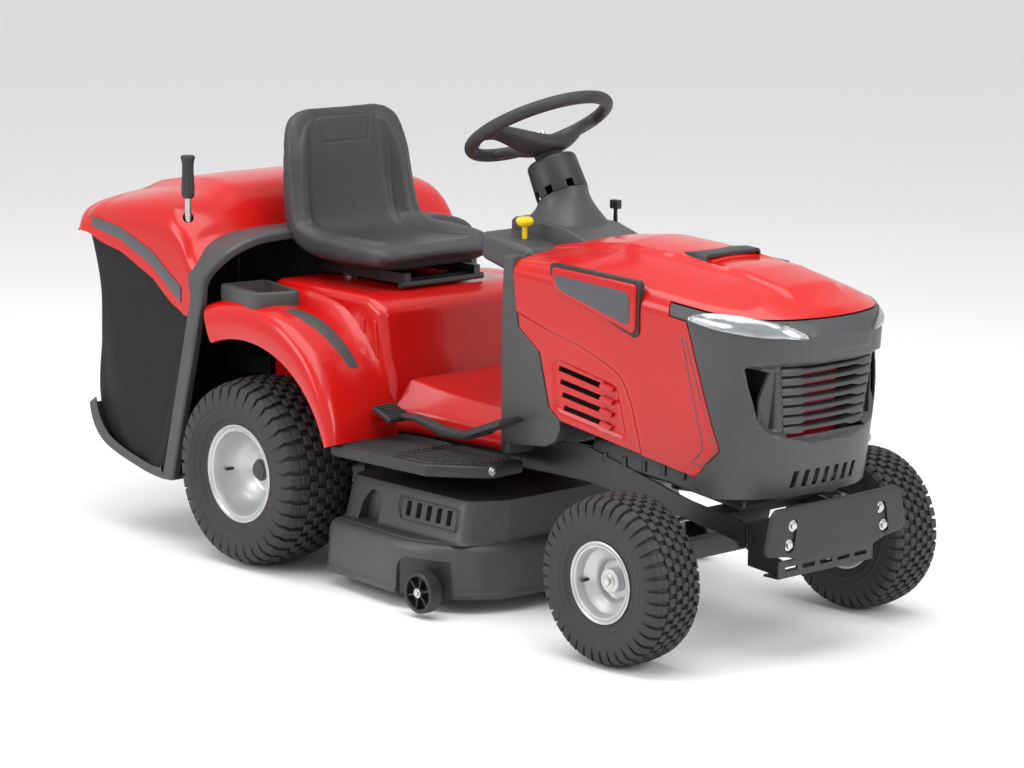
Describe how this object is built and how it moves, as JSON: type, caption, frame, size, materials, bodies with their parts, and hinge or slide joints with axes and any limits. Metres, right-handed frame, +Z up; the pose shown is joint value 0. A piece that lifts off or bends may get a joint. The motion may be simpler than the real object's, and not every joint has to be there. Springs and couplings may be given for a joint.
{
  "type": "riding lawn mower",
  "caption": "Ride-on lawn tractor with a tilting hood, twin-blade deck under the footrests, bucket seat and a tipping grass bag at the rear.",
  "frame": {"origin": "on the ground, at the middle of the machine's length and width", "axes": "+X forward, +Y to the driver's left, +Z up"},
  "size_m": [2.12, 0.94, 1.148],
  "materials": {
    "red_plastic": "glossy moulded plastic",
    "charcoal_plastic": "satin moulded plastic with a fine grain",
    "black_plastic": "satin moulded plastic",
    "crimson_plastic": "glossy",
    "black_steel": "satin powder coat",
    "zinc_steel": "bright zinc plate",
    "engine_casting": "cast",
    "rim": "silver enamel",
    "tyre": "moulded rubber",
    "seat_vinyl": "soft moulded vinyl",
    "mesh_fabric": "open polyester mesh",
    "yellow_plastic": "glossy",
    "lens": "clear"
  },
  "bodies": {
    "chassis": {"frame_rails": "black_steel", "bumper_bracket": "black_steel", "bumper_plate": "charcoal_plastic", "rear_plate": "black_steel", "engine_block": "engine_casting", "blower_shroud": "crimson_plastic", "muffler": "zinc_steel", "fuel_tank": "black_plastic", "battery": "black_plastic", "transaxle": "engine_casting", "collector_chute": "black_plastic", "column_cover": "charcoal_plastic", "dash_console": "charcoal_plastic", "rear_body": "red_plastic", "storage_tray": "charcoal_plastic", "footrest_right": "black_steel", "footrest_left": "black_steel", "seat_spring": "zinc_steel"},
    "engine_shaft": {"engine_pulley": "zinc_steel"},
    "front_axle": {"front_axle_beam": "black_steel"},
    "steering": {"steering_wheel": "black_plastic", "steering_shaft": "zinc_steel"},
    "knuckle_right": {"knuckle_right": "black_steel"},
    "knuckle_left": {"knuckle_left": "black_steel"},
    "tie_rod": {"tie_rod": "zinc_steel"},
    "front_wheel_right": {"front_tyre_right": "tyre", "front_rim_right": "rim"},
    "front_wheel_left": {"front_tyre_left": "tyre", "front_rim_left": "rim"},
    "rear_wheel_right": {"rear_tyre_right": "tyre", "rear_rim_right": "rim", "rear_axle_right": "zinc_steel"},
    "rear_wheel_left": {"rear_tyre_left": "tyre", "rear_rim_left": "rim", "rear_axle_left": "zinc_steel"},
    "hood": {"hood_shell": "red_plastic", "fascia": "charcoal_plastic", "grille": "black_plastic", "headlight_right": "lens", "headlight_left": "lens", "hood_scoop": "charcoal_plastic"},
    "blade_clutch": {"blade_clutch_knob": "yellow_plastic"},
    "ignition": {"ignition_key": "black_plastic"},
    "throttle": {"throttle_lever": "black_plastic"},
    "drive_pedal": {"drive_pedal": "black_plastic"},
    "brake_pedal": {"brake_pedal": "black_plastic"},
    "lift_lever": {"lift_lever": "black_plastic"},
    "deck": {"deck_shell": "black_steel", "deck_cover": "black_plastic"},
    "blade_right": {"blade_right": "zinc_steel"},
    "blade_left": {"blade_left": "zinc_steel"},
    "deck_wheel_right": {"deck_wheel_right": "black_plastic"},
    "deck_wheel_left": {"deck_wheel_left": "black_plastic"},
    "seat_bracket": {"seat_bracket": "black_steel"},
    "seat": {"seat_cushion": "seat_vinyl"},
    "bag": {"bag_frame": "charcoal_plastic", "bag_fabric": "mesh_fabric", "bag_lid": "red_plastic"},
    "tipping_lever": {"tipping_lever": "zinc_steel", "tipping_grip": "black_plastic"}
  },
  "joints": [
    {"name": "engine_shaft_spin", "type": "hinge", "parent": "chassis", "child": "engine_shaft", "pos_m": [0.642, 0, 0.316], "axis": [0, 0, 1], "continuous": true},
    {"name": "front_axle_pivot", "type": "hinge", "parent": "chassis", "child": "front_axle", "pos_m": [0.79, 0, 0.216], "axis": [1, 0, 0], "range_deg": [-7, 7]},
    {"name": "steering_turn", "type": "hinge", "parent": "chassis", "child": "steering", "pos_m": [0.123, 0, 1.055], "axis": [-0.4818, 0, 0.8763], "range_deg": [-240, 240]},
    {"name": "knuckle_right_steer", "type": "hinge", "parent": "front_axle", "child": "knuckle_right", "pos_m": [0.79, -0.285, 0.23], "axis": [0, 0, 1], "range_deg": [-30.5, 30.5]},
    {"name": "knuckle_left_steer", "type": "hinge", "parent": "front_axle", "child": "knuckle_left", "pos_m": [0.79, 0.285, 0.23], "axis": [0, 0, 1], "range_deg": [-30.5, 30.5]},
    {"name": "tie_rod_swing", "type": "hinge", "parent": "knuckle_right", "child": "tie_rod", "pos_m": [0.69, -0.285, 0.253], "axis": [0, 0, 1], "range_deg": [-30.5, 30.5]},
    {"name": "front_wheel_right_spin", "type": "hinge", "parent": "knuckle_right", "child": "front_wheel_right", "pos_m": [0.79, -0.38, 0.184], "axis": [0, 1, 0], "continuous": true},
    {"name": "front_wheel_left_spin", "type": "hinge", "parent": "knuckle_left", "child": "front_wheel_left", "pos_m": [0.79, 0.38, 0.184], "axis": [0, 1, 0], "continuous": true},
    {"name": "rear_wheel_right_spin", "type": "hinge", "parent": "chassis", "child": "rear_wheel_right", "pos_m": [-0.41, -0.366, 0.223], "axis": [0, 1, 0], "continuous": true},
    {"name": "rear_wheel_left_spin", "type": "hinge", "parent": "chassis", "child": "rear_wheel_left", "pos_m": [-0.41, 0.366, 0.223], "axis": [0, 1, 0], "continuous": true},
    {"name": "hood_tilt", "type": "hinge", "parent": "chassis", "child": "hood", "pos_m": [1.035, 0, 0.372], "axis": [0, 1, 0], "range_deg": [0, 65]},
    {"name": "blade_clutch_pull", "type": "slide", "parent": "chassis", "child": "blade_clutch", "axis": [0, 0, 1], "range_m": [0, 0.012]},
    {"name": "ignition_turn", "type": "hinge", "parent": "chassis", "child": "ignition", "pos_m": [0.1755, 0.129, 0.83], "axis": [0, 0, 1], "range_deg": [0, 60]},
    {"name": "throttle_move", "type": "hinge", "parent": "chassis", "child": "throttle", "pos_m": [0.216, 0.158, 0.822], "axis": [0, 1, 0], "range_deg": [-30, 30]},
    {"name": "drive_rocker", "type": "hinge", "parent": "chassis", "child": "drive_pedal", "pos_m": [0.14, -0.26, 0.38], "axis": [0, 1, 0], "range_deg": [-8, 8], "stiffness_Nm_per_rad": 40},
    {"name": "brake_press", "type": "hinge", "parent": "chassis", "child": "brake_pedal", "pos_m": [0.14, 0.26, 0.38], "axis": [0, 1, 0], "range_deg": [0, 16], "stiffness_Nm_per_rad": 30, "springref_deg": -8.59},
    {"name": "deck_lift", "type": "slide", "parent": "chassis", "child": "deck", "axis": [0, 0, 1], "range_m": [0, 0.05]},
    {"name": "lift_lever_swing", "type": "hinge", "parent": "chassis", "child": "lift_lever", "pos_m": [-0.3, 0.345, 0.562], "axis": [0, 1, 0], "range_deg": [-48.5, 0.5]},
    {"name": "blade_right_spin", "type": "hinge", "parent": "deck", "child": "blade_right", "pos_m": [0.108, -0.205, 0.1], "axis": [0, 0, 1], "continuous": true},
    {"name": "blade_left_spin", "type": "hinge", "parent": "deck", "child": "blade_left", "pos_m": [0.108, 0.205, 0.1], "axis": [0, 0, 1], "continuous": true},
    {"name": "deck_wheel_right_spin", "type": "hinge", "parent": "deck", "child": "deck_wheel_right", "pos_m": [0.231, -0.44, 0.058], "axis": [0, 1, 0], "continuous": true},
    {"name": "deck_wheel_left_spin", "type": "hinge", "parent": "deck", "child": "deck_wheel_left", "pos_m": [0.231, 0.44, 0.058], "axis": [0, 1, 0], "continuous": true},
    {"name": "seat_tilt", "type": "hinge", "parent": "chassis", "child": "seat_bracket", "pos_m": [-0.205, 0, 0.662], "axis": [0, 1, 0], "range_deg": [0, 55]},
    {"name": "seat_slide", "type": "slide", "parent": "seat_bracket", "child": "seat", "axis": [1, 0, 0], "range_m": [0, 0.08]},
    {"name": "bag_tip", "type": "hinge", "parent": "chassis", "child": "bag", "pos_m": [-0.74, 0, 0.72], "axis": [0, 1, 0], "range_deg": [0, 55]},
    {"name": "tipping_lever_extend", "type": "slide", "parent": "bag", "child": "tipping_lever", "axis": [0, 0, 1], "range_m": [0, 0.18]}
  ],
  "couplings": [
    {"joint": "knuckle_right_steer", "follows": "steering_turn", "ratio": 0.125},
    {"joint": "knuckle_left_steer", "follows": "steering_turn", "ratio": 0.125},
    {"joint": "tie_rod_swing", "follows": "steering_turn", "ratio": -0.125},
    {"joint": "blade_left_spin", "follows": "blade_right_spin", "ratio": -1},
    {"joint": "lift_lever_swing", "follows": "deck_lift", "rad_per_m": -16.75}
  ]
}
